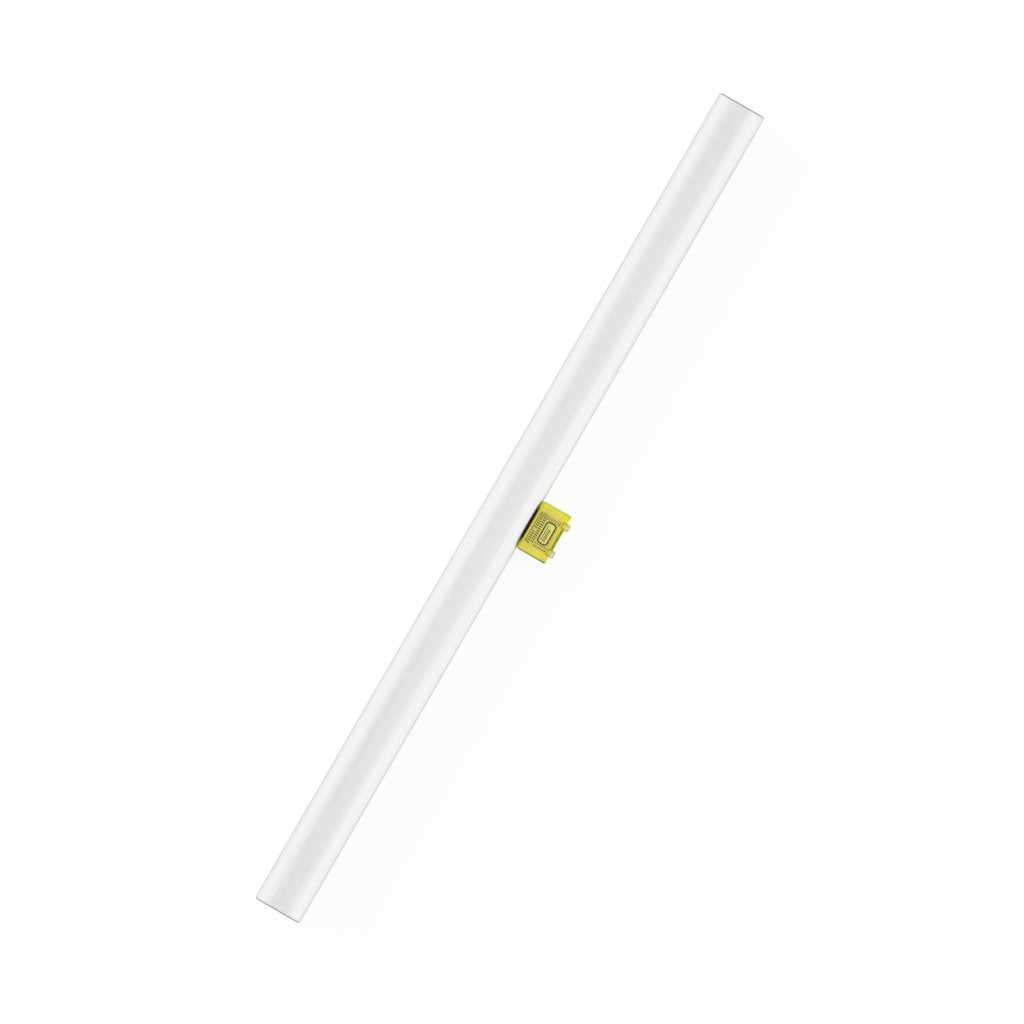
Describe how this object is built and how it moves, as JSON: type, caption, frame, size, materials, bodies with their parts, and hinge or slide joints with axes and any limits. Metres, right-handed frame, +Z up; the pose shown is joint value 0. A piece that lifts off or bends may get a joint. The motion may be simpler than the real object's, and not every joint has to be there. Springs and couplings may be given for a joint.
{
  "type": "tubular light bulb",
  "caption": "Straight opal tubular lamp, closed at both ends, with a moulded yellow base and round contact pegs on its side near the middle.",
  "frame": {"origin": "middle of the lamp's footprint, on the floor that it lies on", "axes": "+X along the tube, -Y towards the side that the base is on, +Z up"},
  "size_m": [0.5, 0.0465, 0.0275],
  "materials": {
    "opal_tube": "satin opal white",
    "end_plug": "satin white",
    "base_housing": "moulded sulphur yellow",
    "base_seal": "black",
    "contact_peg": "nickel plated"
  },
  "bodies": {
    "root": {"opal_tube": "opal_tube", "end_plug_left": "end_plug", "end_plug_right": "end_plug", "base_housing": "base_housing", "base_seal": "base_seal", "contact_peg_left": "contact_peg", "contact_peg_right": "contact_peg"}
  },
  "joints": []
}
